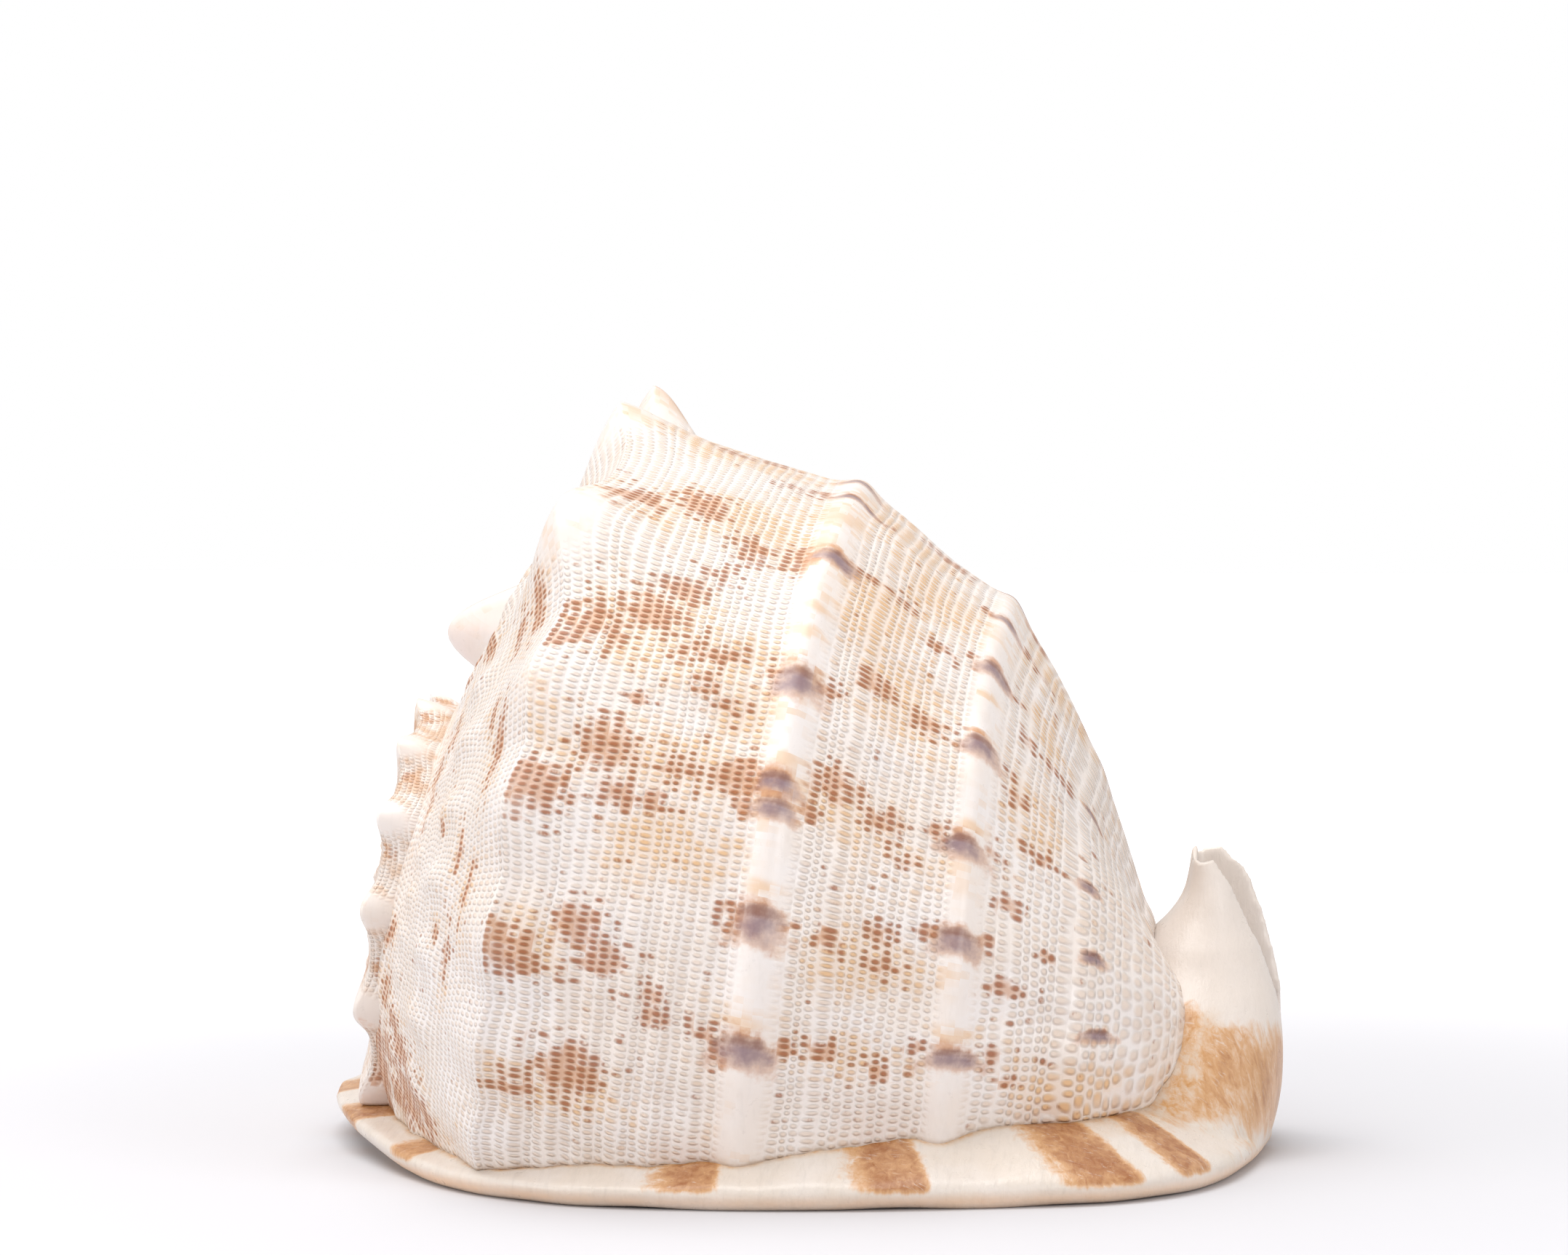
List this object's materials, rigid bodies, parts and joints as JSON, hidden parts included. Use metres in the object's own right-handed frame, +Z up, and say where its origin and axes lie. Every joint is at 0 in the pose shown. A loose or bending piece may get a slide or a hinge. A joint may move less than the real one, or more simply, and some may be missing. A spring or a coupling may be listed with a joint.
{
  "type": "helmet shell",
  "caption": "Large heavy sea shell with a knobbed low spire, two smooth spiral ridges, a broad flat lip and shield, and a toothed slit opening.",
  "frame": {"origin": "middle of the bounding box in plan, on the table the shell rests on", "axes": "+X from the spire toward the canal, -Y toward the outer lip, +Z up, opening facing down"},
  "size_m": [0.1732, 0.1602, 0.1368],
  "materials": {
    "shell": "glossy porcelain-like lime shell, cream with rust brown and purple grey blotches"
  },
  "bodies": {
    "root": {"helmet_shell": "shell"}
  },
  "joints": []
}
